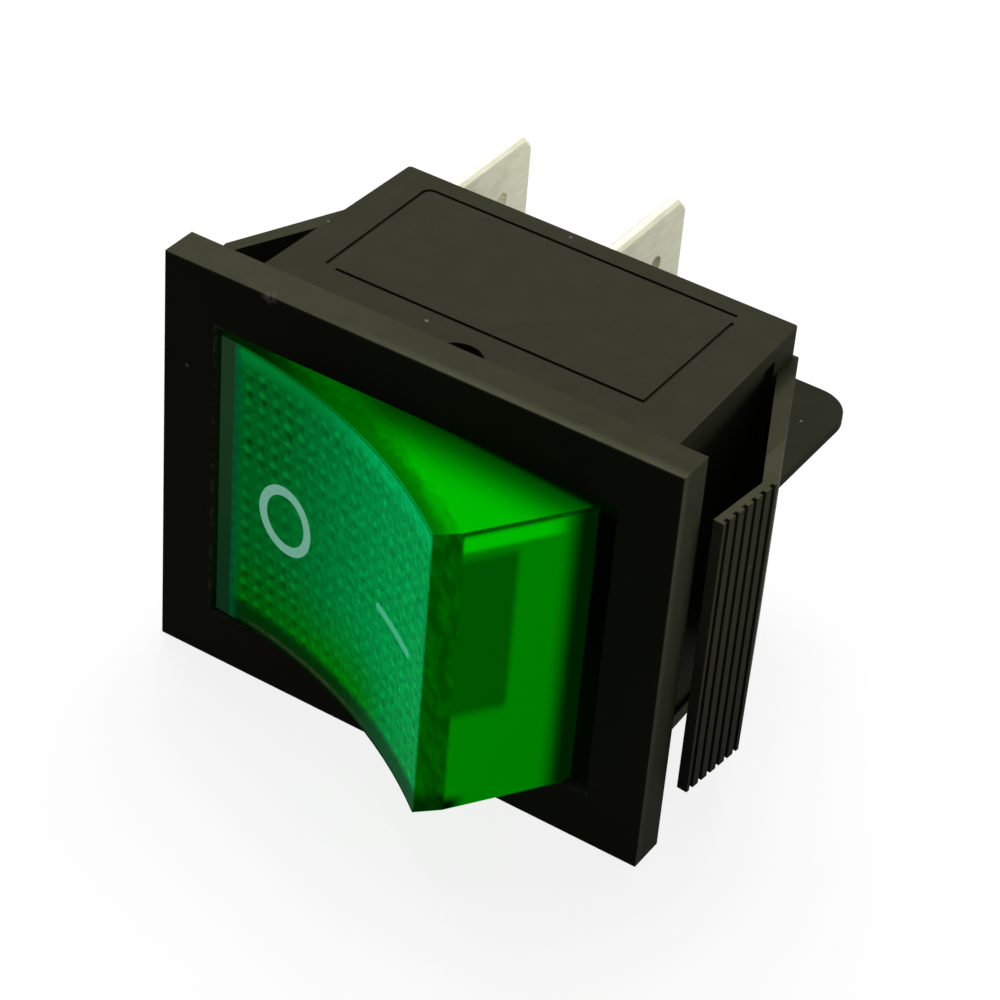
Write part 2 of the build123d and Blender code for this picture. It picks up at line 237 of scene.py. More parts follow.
class Finish(Web):
    """A material and the nodes that make it."""

    def __init__(self, name):
        self.material = bpy.data.materials.new(name)
        self.material.use_nodes = True
        super().__init__(self.material.node_tree)
        self.tree.nodes.clear()

    def place(self, turn=0.0, centre=(0.0, 0.0)):
        """Object coordinates in millimetres, turned about an axis along Z."""
        point = self.node("ShaderNodeTexCoord", output="Object")
        x, y = centre
        cosine, sine = math.cos(turn), math.sin(turn)
        shift = (x - cosine * x + sine * y, y - sine * x - cosine * y, 0.0)
        return self.node("ShaderNodeMapping", {"vector_type": "POINT"},
                         {"Vector": point, "Scale": (1 / MM, 1 / MM, 1 / MM),
                          "Rotation": (0.0, 0.0, turn), "Location": shift})

    def split(self, point):
        """X, Y and Z of a point."""
        x = self.node("ShaderNodeSeparateXYZ", {}, {"Vector": point}, "X")
        return x, x.beside("Y"), x.beside("Z")

    def noise(self, point, scale, detail=2.0, roughness=0.5):
        return self.node("ShaderNodeTexNoise", {}, {"Vector": point, "Scale": scale,
                         "Detail": detail, "Roughness": roughness}, "Fac")

    def wander(self, point, scale, **detail):
        """Noise about zero, which pushes a value both ways."""
        return self.noise(point, scale, **detail) - 0.5

    def mix(self, factor, first, second):
        """Colour first where factor is 0 and second where it is 1."""
        return self.node("ShaderNodeMix", {"data_type": "RGBA", "clamp_factor": True},
                         {MIX_FACTOR: factor, MIX_FIRST: first, MIX_SECOND: second},
                         MIX_RESULT)

    def cover(self, colour, *layers):
        """Lays more colours over one, each through its own mask."""
        for mask, over in layers:
            colour = self.mix(mask, colour, over)
        return colour

    def scale(self, colour, level):
        """A colour made lighter or darker by a number that may vary."""
        return self.node("ShaderNodeVectorMath", {"operation": "SCALE"},
                         {0: colour, "Scale": level}, "Vector")

    def bump(self, height, strength, distance):
        return self.node("ShaderNodeBump", {}, {"Height": height, "Strength": strength,
                         "Distance": distance}, "Normal")

    def surface(self, **inputs):
        """The Principled shader with these sockets, and the material's output."""
        values = {key.replace("_", " "): value for key, value in inputs.items()}
        return self.end(self.node("ShaderNodeBsdfPrincipled", {}, values, "BSDF"))

    def end(self, shader):
        self.node("ShaderNodeOutputMaterial", {}, {"Surface": shader}, None)
        return self.material


def dress(material, *names):
    """Gives CAD nodes a finish and leaves their meshes alone."""
    for name in names:
        nodes[name].data.materials.clear()
        nodes[name].data.materials.append(material)
    print(material.name, "on", len(names), "pieces")


print("finishes are ready")

# %% [markdown]
# ## The black moulding
# Housing and bezel are glass-filled nylon straight from the mould. The surface is nearly black
# and satin, with a very fine orange-peel grain and faint cloudy patches where the fibres lie
# near the surface. Painted light lies on the rim of the bezel, along its front arris and on the
# snap arms. Painted shade lies on the front and on the plate at the rear, and the bezel's right
# end is painted lighter at the top and darker at the bottom. All places are in millimetres: x
# from left to right, y from front to rear, z up.

# %% Painted light and shade
BLEND = 0.1
BEZEL_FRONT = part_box("housing")[0][1] / MM
BEZEL_REAR_Y = (0.02, -0.02)
# Shares of the painted light on the rim and of the painted shade on the front, the right end and
# the rear plate.
BEZEL_PAINTED_LIGHT = 0.42
BEZEL_FALL_X = (-12.0, 12.0, 0.27)
FRONT_ARRIS_X = (-8.0, 3.0, 0.85)
FRONT_ARRIS_Y = (-1.5, -2.1)
FRONT_PAINTED_SHADE = 0.84
BEZEL_END_X = (15.44, 15.5)
BEZEL_END_Z = (-12.0, 12.0, 0.9)
BEZEL_END_PAINTED_SHADE = 0.55
ARM_X = (12.9, 13.3, 0.3)
ARM_Y = (0.0, 0.2)
BODY_REAR = 15.27
PLATE_PAINTED_SHADE = 0.38


def painted_nylon_light(x, y, z):
    """Painted light and shade on each part of the moulding, beside the plain body."""
    # Painted light on the rim, its front arris and the snap arms; painted shade on the front, the
    # rear plate and the foot of the bezel's right end.
    rim = BEZEL_PAINTED_LIGHT - x.fade(*BEZEL_FALL_X) + x.fade(*FRONT_ARRIS_X) * y.fade(*FRONT_ARRIS_Y)
    light = 1.0 + y.fade(*BEZEL_REAR_Y) * rim
    light = light + x.size().fade(*ARM_X) * y.fade(*ARM_Y)
    light = light * (1.0 - y.fade(BEZEL_FRONT + BLEND, BEZEL_FRONT, FRONT_PAINTED_SHADE))
    light = light - y.fade(BODY_REAR, BODY_REAR + BLEND, PLATE_PAINTED_SHADE)
    end = x.fade(*BEZEL_END_X) * (z.fade(*BEZEL_END_Z) - BEZEL_END_PAINTED_SHADE)
    return light * (1.0 + end)


print("bezel front at", round(BEZEL_FRONT, 2), "mm")

# %% [markdown]
# The moulding has been handled. It has a few pale specks and pips and a rub on the bezel's top
# edge. A painted highlight runs along the window's lip and along the arrises at the body's rear.
# Each is a mask, and where any of them is 1 the same pale colour shows.

# %% Wear and painted highlights on the moulding
SPECK_SCALE = 0.42
SPECK_FADE = (0.06, 0.03)
SPECK_AREA_SCALE = 0.11
SPECK_AREA_FADE = (0.56, 0.6)
RUB_X = -8.9
RUB_Z = 12.55
RUB_FLAT = 2.0
RUB_REACH = 0.8
RUB_SCALE = 2.4
RUB_FADE = (0.38, 0.52)
RUB_Y = (-1.6, -2.2)
WINDOW_HALF_X = 12.19
WINDOW_HALF_Z = 9.4
LIP_WIDTH = (0.16, 0.05)
LIP_X = (-9.5, -12.0)
LIP_Y = (-2.0, -2.2)
LIP_Z = (-9.1, -9.3, 0.6)
LIP_SCALE = 1.5
LIP_FADE = (0.4, 0.6, 0.35)
REAR_ARRIS_X = 12.25
REAR_ARRIS_FADE = (0.224, 0.084, 0.5)
PIPS = ((-3.07, 3.49, 10.65), (13.86, 3.19, 10.65), (-13.98, -2.28, 6.21))
PIP_FADE = (0.135, 0.09)


def nylon_wear_and_highlights(finish, point, x, y, z):
    """1 where the moulding is scuffed, and where painted highlights lie on the window's lip and
    the rear arrises.
    """
    cell = finish.node("ShaderNodeTexVoronoi", {"feature": "F1"},
                       {"Vector": point, "Scale": SPECK_SCALE, "Randomness": 1.0}, "Distance")
    specks = finish.noise(point, SPECK_AREA_SCALE, detail=0.0).fade(*SPECK_AREA_FADE)
    specks = specks * cell.fade(*SPECK_FADE)
    rub = (x - RUB_X).size() + (z - RUB_Z).size() * RUB_FLAT
    rub = rub.fade(RUB_REACH, 0.0) * finish.noise(point, RUB_SCALE).fade(*RUB_FADE)
    rub = rub * y.fade(*RUB_Y)
    # A painted highlight along the window's lip.
    lip_highlight = (x.size() - WINDOW_HALF_X).most(z.size() - WINDOW_HALF_Z).size()
    lip_highlight = lip_highlight.fade(*LIP_WIDTH) * y.fade(*LIP_Y) * x.fade(*LIP_X).most(z.fade(*LIP_Z))
    lip_highlight = lip_highlight * finish.noise(point, LIP_SCALE, detail=3.0).fade(*LIP_FADE)
    # A painted highlight along the arrises at the body's rear.
    arris_highlight = (x.size() - REAR_ARRIS_X).size() + (y - BODY_REAR).size()
    pips = [finish.node("ShaderNodeVectorMath", {"operation": "DISTANCE"},
                        {0: point, 1: pip}, "Value").fade(*PIP_FADE) for pip in PIPS]
    return specks.most(rub, arris_highlight.fade(*REAR_ARRIS_FADE), lip_highlight, *pips)


print(len(PIPS), "pips")

# %% Black nylon
NYLON = (0.046, 0.048, 0.028)
NYLON_PALE = (0.052, 0.054, 0.033)
SCUFF_AND_HIGHLIGHT = (0.21, 0.20, 0.16)
NYLON_GLOSS = 0.012
NYLON_ROUGH = 0.5
CLOUD_SCALE = 0.55
CLOUD_FADE = (0.38, 0.68)
CLOUD_ROUGH = 0.12
WEAR_AND_HIGHLIGHT_ROUGH = 0.1
GRAIN_SCALE = 5.0
GRAIN_SHARE = 0.6
FINE_GRAIN_SCALE = 22.0
FINE_GRAIN_SHARE = 0.4
GRAIN_STRENGTH = 0.35
GRAIN_HEIGHT = 0.03 * MM


def black_nylon():
    finish = Finish("black_nylon")
    point = finish.place()
    x, y, z = finish.split(point)
    cloud = finish.noise(point, CLOUD_SCALE, detail=4.0, roughness=0.6)
    colour = finish.mix(cloud.fade(*CLOUD_FADE), NYLON, NYLON_PALE)
    # The painted light and shade scale the nylon's colour.
    colour = finish.scale(colour, painted_nylon_light(x, y, z))
    wear = nylon_wear_and_highlights(finish, point, x, y, z)
    # Scuffs, and painted highlights on the window's lip and the rear arrises, in one pale colour.
    colour = finish.mix(wear, colour, SCUFF_AND_HIGHLIGHT)
    rough = NYLON_ROUGH + cloud * CLOUD_ROUGH + wear * WEAR_AND_HIGHLIGHT_ROUGH
    grain = finish.noise(point, GRAIN_SCALE, **FRAYED) * GRAIN_SHARE
    grain = grain + finish.noise(point, FINE_GRAIN_SCALE) * FINE_GRAIN_SHARE
    normal = finish.bump(grain, GRAIN_STRENGTH, GRAIN_HEIGHT)
    return finish.surface(Base_Color=colour, Roughness=rough, Normal=normal,
                          Specular_IOR_Level=NYLON_GLOSS)


dress(black_nylon(), "housing")

# %% [markdown]
# ## The rocker's own frame
# The rocker lies tipped by half its travel. Its marks and its lining are laid out level, as on
# the mould drawing, and then turned about the pivot. Pivot and tilt come from the joint itself.


# %% Rocker frame
def joint_named(name):
    return next(joint for joint in frame["joints"] if joint["name"] == name)


PIVOT = Vector(joint_named("rocker_pivot")["pos_m"])
PIVOT_MM = (PIVOT.x / MM, PIVOT.y / MM)
TILT = math.radians(joint_named("rocker_pivot")["range_deg"][1] / 2)
print("rocker tilt", round(math.degrees(TILT), 1), "degrees about", PIVOT_MM, "mm")

# %% [markdown]
# ## The green rocker
# The rocker is a hollow shell of clear green polycarbonate. Light enters its long upper wall
# and leaves through the face and the end walls. A painted glow, an emission in the shell's own
# colour, stands in for that light, and much of the colour below is painted light and shade.
# Everything is laid out in the rocker's level frame, in millimetres: x along it, z up, and depth
# below the dished face.
#
# The inner side of the face is studded to spread the lamp's light, and the studs show through
# as staggered dots. Waves added up give their rows, painted lighter as a highlight on each stud.
# The same waves, shifted a little and taken away, paint each stud's shade on its lower side, as
# if lit from above. Slow noise bends the rows and makes them weaker in places, as the thick
# plastic does.

# %% Studs
TURN = 2 * math.pi
STUD_PITCH_X = 0.97
STUD_PITCH_Z = 0.99
STUD_START_X = -7.70
STUD_START_Z = 6.76
ROW_ACROSS = 0.85
ROW_UP = 0.8
FALLING_ROW = 0.65
RISING_ROW = 0.52
FINE_ROW_ACROSS = 0.4
FINE_ROW_UP = 0.8
STUD_FADE = (-1.2, 3.4)
STUD_MEAN = 0.30
STUD_LIGHT = 1.4
STUD_DARK = 0.9
DARK_SHIFT_X = 0.12
DARK_SHIFT_Z = 0.42
CONTRAST_LEAST = 0.27
CONTRAST_X = (1.0, -6.5, 0.33)
PATCH_LEAST = 0.4
PATCH_SCALE = 0.55
PATCH_FADE = (0.3, 0.7, 0.6)
CALM_X = (-8.0, -1.5, 1.0)
CALM_Z = (-2.2, 2.0, 1.0)
CALM_DROP = 0.5
DRIFT_LEAST = 0.35 * math.pi
DRIFT_X = (-7.0, -2.0, 0.85 * math.pi)
DRIFT_SCALE = 1.3
MOTTLE_LEAST = 0.7
MOTTLE_X = (-7.0, -1.0, 0.4)
MOTTLE_SCALE = 2.6


def stud_field(across, up, drift):
    """Small studs in straight rows: 1 on a stud and 0 between them."""
    across_turn = (across - STUD_START_X) * (TURN / STUD_PITCH_X) + drift
    up_turn = (up - STUD_START_Z) * (TURN / STUD_PITCH_Z) - drift
    waves = ((across_turn, ROW_ACROSS), (up_turn, ROW_UP),
             (across_turn - up_turn, FALLING_ROW), (across_turn + up_turn, RISING_ROW),
             (across_turn * 2.0, FINE_ROW_ACROSS), (up_turn * 2.0, FINE_ROW_UP))
    return sum(turn.math("COSINE") * share for turn, share in waves).fade(*STUD_FADE)


def stud_painted_light(finish, point, x, z):
    """How much the studs' painted highlight and shade make the face lighter or darker."""
    patch = PATCH_LEAST + finish.noise(point, PATCH_SCALE).fade(*PATCH_FADE)
    calm = 1.0 - z.inside(*CALM_Z) * x.inside(*CALM_X) * CALM_DROP
    contrast = (CONTRAST_LEAST + x.fade(*CONTRAST_X)) * patch * calm
    drift = finish.wander(point, DRIFT_SCALE) * (DRIFT_LEAST + x.fade(*DRIFT_X))
    mottle = finish.wander(point, MOTTLE_SCALE, roughness=0.6) * (MOTTLE_LEAST + x.fade(*MOTTLE_X))
    # Painted highlight on each stud, and its painted shade a little lower.
    light = (stud_field(x, z, drift) - STUD_MEAN) * STUD_LIGHT
    painted_stud_shade = (stud_field(x - DARK_SHIFT_X, z + DARK_SHIFT_Z, drift) - STUD_MEAN) * STUD_DARK
    return (light - painted_stud_shade) * contrast + mottle


print("studs every", STUD_PITCH_X, "by", STUD_PITCH_Z, "mm")

# %% [markdown]
# The face grows paler towards the I end. Its rims lie over the solid walls and are smooth: the
# upper one ends in a painted highlight along its arris, and the lower one is dark with a thin
# painted gleam. At the O end the face steps down to a sunk strip, darkened by painted shade.

# %% Face
FACE_DEEP = (0.0, 0.175, 0.020)
FACE_PALE = (0.0, 0.50, 0.104)
FACE_LOW = (0.0, 0.28, 0.0)
FACE_LOW_DEEP = (0.0, 0.165, 0.003)
RIM_GREEN = (0.0, 0.36, 0.055)
ARRIS_HIGHLIGHT_GREEN = (0.0, 0.72, 0.19)
LOWER_RIM = (0.0, 0.036, 0.003)
LOWER_RIM_PALE = (0.010, 0.095, 0.032)
GLEAM = (0.065, 0.070, 0.040)
TEAL = (0.0, 0.125, 0.045)
SUNK_SHADE_PALE = (0.019, 0.062, 0.023)
SUNK_SHADE_GREEN = (0.006, 0.046, 0.015)
WALL_DARK = (0.0, 0.14, 0.0)
END_DARK = (0.0, 0.155, 0.0)
SHADE = (0.0, 0.006, 0.0)
FACE_X = (-8.5, 9.5)
LOW_X = (-8.0, 2.0)
LOW_Z = (-2.0, -7.5)
LOW_SHARE = 0.95
LOW_FALL_X = (2.0, 6.0, 0.7)
RIM = 8.3
RIM_RISE_X = (-4.0, 6.0, 0.5)
RIM_FADE = (-0.6, 0.3, 0.7)
STUDDED_FADE = (0.3, -0.5, 0.8)
STUDDED_LEAST = 0.2
HIGHLIGHT_RAG_SCALE = 2.0
HIGHLIGHT_RAG_FADE = (0.35, 0.65)
ARRIS_RAGGED = 0.5
ARRIS_SHARE = 0.45
ARRIS_RAG = 0.35
ARRIS_X = (-3.5, 4.0)
ARRIS_Z = (7.9, 8.7)
UPPER_LINE_Z = (8.84, 8.94, 0.7)
LOWER_RIM_X = (0.0, 6.0)
LOWER_RIM_Z = (-7.2, -7.9, 0.93)
GLEAM_SHARE = 0.3
GLEAM_RAG = 0.5
GLEAM_X = (-7.0, 3.0, 2.0)
GLEAM_Z = (-8.75, -8.5, 0.1)
LOWER_LINE_Z = (-8.8, -8.95, 0.8)
FACE_END_X = (9.43, 9.55, 0.3)
TEAL_X = (-8.0, -8.5, 0.7)
SUNK_X = (-8.5, -8.75)
SUNK_Z = (7.0, -8.0)


def face_colour(finish, point, x, z):
    """The studded face, its rims with painted highlights on their arrises, and the sunk strip in
    painted shade at the O end.
    """
    colour = finish.mix(x.fade(*FACE_X), FACE_DEEP, FACE_PALE)
    low = finish.mix(x.fade(*LOW_X), FACE_LOW_DEEP, FACE_LOW)
    colour = finish.mix(z.fade(*LOW_Z) * (LOW_SHARE - x.fade(*LOW_FALL_X)), colour, low)
    rim = RIM + x.fade(*RIM_RISE_X)
    studded = (z.size() - rim).fade(*STUDDED_FADE) + STUDDED_LEAST
    colour = finish.scale(colour, 1.0 + stud_painted_light(finish, point, x, z) * studded)
    # Ragged noise for the painted highlights on the upper arris and the lower rim.
    highlight_rag = finish.noise(point, HIGHLIGHT_RAG_SCALE, **FRAYED).fade(*HIGHLIGHT_RAG_FADE)
    arris_highlight = (z + highlight_rag * ARRIS_RAGGED).fade(*ARRIS_Z) * x.fade(*ARRIS_X)
    lower_rim = finish.mix(x.fade(*LOWER_RIM_X), LOWER_RIM, LOWER_RIM_PALE)
    gleam = z.inside(*GLEAM_Z) * x.inside(*GLEAM_X)
    # The sunk strip at the O end is painted shade from the window.
    sunk = finish.mix(z.fade(*SUNK_Z), SUNK_SHADE_PALE, SUNK_SHADE_GREEN)
    return finish.cover(colour,
                        ((z - rim).fade(*RIM_FADE), RIM_GREEN),
                        (arris_highlight * (ARRIS_SHARE + highlight_rag * ARRIS_RAG), ARRIS_HIGHLIGHT_GREEN),
                        (z.fade(*LOWER_RIM_Z), lower_rim),
                        (gleam * (GLEAM_SHARE + highlight_rag * GLEAM_RAG), GLEAM),
                        (z.fade(*LOWER_LINE_Z), SHADE),
                        (z.fade(*UPPER_LINE_Z), WALL_DARK),
                        (x.fade(*FACE_END_X), END_DARK),
                        (x.fade(*TEAL_X), TEAL),
                        (x.fade(*SUNK_X), sunk))


print("upper rim starts", RIM, "mm above the middle")

# %% [markdown]
# The long walls are dark and ragged beside the arris, where the face's own wall stands behind
# them. Below it they carry painted light, most of all towards the I end, and painted shade turns
# them black where they dip into the window.

# %% Long walls
WALL_PAINTED_LIGHT = (0.0, 0.42, 0.0)
STREAK_X = 0.22
STREAK_DEPTH = 2.2
STREAK_SCALE = 1.2
STREAK_LEAST = 0.6
STREAK_SHARE = 0.8
RAGGED_X = 0.7
RAGGED_SCALE = 1.8
RAGGED_REACH = 1.3
BRIGHT_LEAST = 0.5
BRIGHT_X = (-4.0, 6.5, 0.5)
BRIGHT_DEPTH = (0.4, 1.7)
EDGE_DEPTH = (0.2, 0.5, 0.16)
CORNER_X = (-2.0, -8.0, 0.85)
CORNER_DEPTH = (1.6, 0.5)
WINDOW_Y = -1.38
WINDOW_SLOPE = 0.31
SOFT_SHADE = (-4.2, -0.1, 0.78)
DEEP_SHADE = (-0.8, -0.25, 0.98)


def wall_colour(finish, x, y, depth):
    """The long walls: dark beside the arris, then painted light, then painted shade from the
    window.
    """
    streak = finish.vector(x * STREAK_X, depth * STREAK_DEPTH)
    streak = finish.noise(streak, STREAK_SCALE, **FRAYED)
    ragged = finish.wander(finish.vector(x * RAGGED_X, depth), RAGGED_SCALE, **FRAYED)
    ragged = depth + ragged * RAGGED_REACH
    # Painted light on the walls, strongest towards the I end.
    painted_wall_light = ragged.fade(*BRIGHT_DEPTH) * (BRIGHT_LEAST + x.fade(*BRIGHT_X))
    painted_wall_light = painted_wall_light * (STREAK_LEAST + streak * STREAK_SHARE)
    painted_wall_light = painted_wall_light + depth.fade(*EDGE_DEPTH) * streak
    inward = y - WINDOW_Y - x.size() * WINDOW_SLOPE
    return finish.cover(finish.mix(painted_wall_light, WALL_DARK, WALL_PAINTED_LIGHT),
                        (ragged.fade(*CORNER_DEPTH) * x.fade(*CORNER_X), SHADE),
                        (inward.fade(*SOFT_SHADE), SHADE),
                        (inward.fade(*DEEP_SHADE), SHADE))


print("long walls in", WALL_DARK, "to", WALL_PAINTED_LIGHT)

# %% [markdown]
# An end wall carries painted shade where the hollow lies behind it, a band of painted light
# above, and a blotchy bevel below the face. Masks along its height and depth draw them.

# %% End walls
BEVEL_DARK = (0.0, 0.10, 0.0)
BEVEL_PALE = (0.0, 0.20, 0.0)
END_MIDDLE = (0.0, 0.37, 0.0)
END_PAINTED_LIGHT = (0.0, 0.86, 0.0)
BLOT_Y = 1.6
BLOT_Z = 0.8
BLOT_SCALE = 1.1
BLOT_FADE = (0.35, 0.7)
BEVEL_Y = (-4.7, -4.95)
BEVEL_FOOT_Z = (-7.4, -8.4, 0.75)
HOLLOW_Y = (-5.2, -1.9, 0.25)
HOLLOW_Z = (-2.8, 7.3, 0.5)
BAND_Y = (1.0, -0.6)
BAND_Z = (7.75, 8.65, 0.2)
END_TOP_Z = (8.65, 8.85)
END_FOOT_Y = (-3.4, -4.6)
END_FOOT_Z = (-7.9, -8.7)
END_SHADE_Y = (0.1, 1.5, 0.95)


def end_colour(finish, y, z):
    """The end walls: painted shade of the hollow behind, a band of painted light and a blotchy
    bevel.
    """
    blot = finish.noise(finish.vector(y * BLOT_Y, z * BLOT_Z + y), BLOT_SCALE, **FRAYED)
    bevel = finish.mix(blot.fade(*BLOT_FADE), BEVEL_DARK, BEVEL_PALE)
    bevel = finish.mix(z.fade(*BEVEL_FOOT_Z), bevel, SHADE)
    # Painted shade for the hollow, the foot and the rear; painted light in the band.
    return finish.cover(END_MIDDLE,
                        (z.inside(*HOLLOW_Z) * y.inside(*HOLLOW_Y), END_DARK),
                        (z.inside(*BAND_Z) * y.fade(*BAND_Y), END_PAINTED_LIGHT),
                        (z.fade(*END_TOP_Z), WALL_DARK),
                        (z.fade(*END_FOOT_Z) * y.fade(*END_FOOT_Y), SHADE),
                        (y.fade(*END_SHADE_Y), SHADE),
                        (y.fade(*BEVEL_Y), bevel))


print("end walls in", END_DARK, "to", END_PAINTED_LIGHT)

# %% Green shell
DISH_RADIUS = 32.17
DISH_MIDDLE = -4.85
LONG_WALL_Z = (8.96, 9.0)
BELOW_FACE = (0.03, 0.10)
SWIRL_SCALE = 0.5
SWIRL_STRENGTH = 0.10
SWIRL_HEIGHT = 0.2 * MM
SWIRL_ROUGH = 0.1
SHELL_ROUGH = 0.24
PAINTED_GLOW = 0.45
ROCKER_GLOSS = 0.001
GREEN_SHINE = (0.3, 1.0, 0.6)


def green_shell():
    finish = Finish("green_shell")
    point = finish.place(TILT, PIVOT_MM)
    x, y, z = finish.split(point)
    dish = (DISH_RADIUS ** 2 - x * x).math("SQRT")
    depth = y - dish + (DISH_RADIUS - DISH_MIDDLE)
    side = finish.mix(z.size().fade(*LONG_WALL_Z), end_colour(finish, y, z),
                      wall_colour(finish, x, y, depth))
    colour = finish.mix(depth.fade(*BELOW_FACE), face_colour(finish, point, x, z), side)
    swirl = finish.noise(point, SWIRL_SCALE, detail=3.0)
    normal = finish.bump(swirl, SWIRL_STRENGTH, SWIRL_HEIGHT)
    # The emission is a painted glow in the shell's colour.
    return finish.surface(Base_Color=colour, Roughness=SHELL_ROUGH + swirl * SWIRL_ROUGH,
                          Normal=normal, Emission_Color=colour, Emission_Strength=PAINTED_GLOW,
                          Specular_IOR_Level=ROCKER_GLOSS, Specular_Tint=GREEN_SHINE)


dress(green_shell(), "rocker")

# %% [markdown]
# ## The marks
# O and I are printed on the face in a pale ink, with a painted glow, an emission in the ink's
# colour.
# A picture on the material would blur up close, so each mark is a thin closed film with a crisp
# edge. The film has to follow the dished face, and Geometry Nodes do that: they draw an outline
# level, fill it, drop every point on the face along a ray and give it a thickness.

# %% Ink
INK_O = (0.28, 0.66, 0.50)
INK_I = (0.10, 0.70, 0.38)
INK_X = (-3.0, 3.0)
INK_PAINTED_GLOW = 0.45
INK_ROUGH = 0.42
INK_WEAR_SCALE = 3.0
INK_WEAR_FADE = (0.55, 0.75, 0.3)
INK_WEAR_ROUGH = 0.15


def pale_ink():
    finish = Finish("pale_ink")
    point = finish.place(TILT, PIVOT_MM)
    x = finish.split(point)[0]
    wear = finish.noise(point, INK_WEAR_SCALE, **FRAYED)
    colour = finish.mix(x.fade(*INK_X), INK_O, INK_I)
    colour = finish.mix(wear.fade(*INK_WEAR_FADE), colour, FACE_PALE)
    # The emission is a painted glow in the ink's colour.
    return finish.surface(Base_Color=colour, Roughness=INK_ROUGH + wear * INK_WEAR_ROUGH,
                          Emission_Color=colour, Emission_Strength=INK_PAINTED_GLOW,
                          Specular_IOR_Level=ROCKER_GLOSS)


ink = pale_ink()
print("ink is", ink.name)

# %% Printing tree
FILM = 0.03 * MM
ROOT = 0.03 * MM
WELD = 0.001 * MM
RAY_LENGTH = 100 * MM
OUTWARD = Matrix.Rotation(-TILT, 3, "Z") @ Vector((0, -1, 0))


class Shape(Web):
    """A Geometry Nodes tree whose inputs have names."""

    def __init__(self, name):
        super().__init__(bpy.data.node_groups.new(name, "GeometryNodeTree"))
        for way in ("INPUT", "OUTPUT"):
            self.tree.interface.new_socket("Geometry", in_out=way,
                                           socket_type="NodeSocketGeometry")
        self.entry = self.tree.nodes.new("NodeGroupInput")

    def ask(self, name, kind="Float"):
        self.tree.interface.new_socket(name, in_out="INPUT", socket_type="NodeSocket" + kind)
        return Socket(self, self.entry.outputs[name])

    def join(self, *parts):
        return self.node("GeometryNodeJoinGeometry", {}, {"Geometry": list(parts)}, "Geometry")

    def give(self, geometry):
        self.node("NodeGroupOutput", {}, {"Geometry": geometry}, None)
        return self.tree


def print_on_face(shape, flat):
    """Lays a flat drawing on the face, gives it a thickness and its ink."""
    place = shape.ask("Place", "Vector")
    slope = shape.ask("Slope")
    face = shape.ask("Face", "Object")
    ink_of_mark = shape.ask("Ink", "Material")
    turn = shape.vector(math.pi / 2, slope)
    level = shape.node("GeometryNodeTransform", {},
                       {"Geometry": flat, "Translation": place, "Rotation": turn}, "Geometry")
    target = shape.node("GeometryNodeObjectInfo", {"transform_space": "ORIGINAL"},
                        {"Object": face}, "Geometry")
    here = shape.node("GeometryNodeInputPosition", output="Position")
    start = shape.node("ShaderNodeVectorRotate", {"rotation_type": "Z_AXIS"},
                       {"Vector": here, "Center": tuple(PIVOT), "Angle": -TILT}, "Vector")
    hit = shape.node("GeometryNodeRaycast", {},
                     {"Target Geometry": target, "Source Position": start,
                      "Ray Direction": tuple(-OUTWARD), "Ray Length": RAY_LENGTH},
                     "Hit Position")
    sunk = shape.node("ShaderNodeVectorMath", {"operation": "ADD"},
                      {0: hit, 1: tuple(OUTWARD * -ROOT)}, "Vector")
    sheet = shape.node("GeometryNodeSetPosition", {}, {"Geometry": level, "Position": sunk},
                       "Geometry")
    raised = shape.node("GeometryNodeExtrudeMesh", {"mode": "FACES"},
                        {"Mesh": sheet, "Offset": tuple(OUTWARD), "Offset Scale": FILM + ROOT,
                         "Individual": False}, "Mesh")
    under = shape.node("GeometryNodeFlipFaces", {}, {"Mesh": sheet}, "Mesh")
    film = shape.node("GeometryNodeMergeByDistance", {},
                      {"Geometry": shape.join(raised, under), "Distance": WELD}, "Geometry")
    film = shape.node("GeometryNodeRealizeInstances", {}, {"Geometry": film}, "Geometry")
    film = shape.node("GeometryNodeSetMaterial", {},
                      {"Geometry": film, "Material": ink_of_mark}, "Geometry")
    return shape.give(film)


print("film stands", round(FILM / MM, 3), "mm proud")

# %% O and I
OUTSIDE = -30.0
O_PLACE = Vector((-4.67, OUTSIDE, -0.19)) * MM
O_RADIUS = 2.0 * MM
O_STROKE = 0.54 * MM
O_TALL = 1.05
O_STEPS = 64
I_PLACE = Vector((5.68, OUTSIDE, -0.06)) * MM
I_LENGTH = 4.00 * MM
I_STROKE = 0.42 * MM
I_SLOPE = math.radians(4.0)
I_END_ROUND = 0.49
I_END_STEPS = 8
I_POINT_STEP = 0.08 * MM


def ring_tree():
    shape = Shape("print_ring")
    radius = shape.ask("Radius")
    stroke = shape.ask("Stroke")
    tall = shape.ask("Tall")
    rings = [shape.node("GeometryNodeCurvePrimitiveCircle", {"mode": "RADIUS"},
                        {"Resolution": O_STEPS, "Radius": size}, "Curve")
             for size in (radius, radius - stroke)]
    ring = shape.node("GeometryNodeFillCurve", {}, {"Curve": shape.join(*rings)}, "Mesh")
    flat = shape.node("GeometryNodeTransform", {},
                      {"Geometry": ring, "Scale": shape.vector(1.0, tall, 1.0)}, "Geometry")
    return print_on_face(shape, flat)


def bar_tree():
    shape = Shape("print_bar")
    length = shape.ask("Length")
    stroke = shape.ask("Stroke")
    box = shape.node("GeometryNodeCurvePrimitiveQuadrilateral", {"mode": "RECTANGLE"},
                     {"Width": length, "Height": stroke}, "Curve")
    round_end = shape.node("GeometryNodeFilletCurve", {"mode": "POLY"},
                           {"Curve": box, "Count": I_END_STEPS,
                            "Radius": stroke * I_END_ROUND, "Limit Radius": True}, "Curve")
    even = shape.node("GeometryNodeResampleCurve", {"mode": "LENGTH"},
                      {"Curve": round_end, "Length": I_POINT_STEP}, "Curve")
    flat = shape.node("GeometryNodeFillCurve", {}, {"Curve": even}, "Mesh")
    return print_on_face(shape, flat)


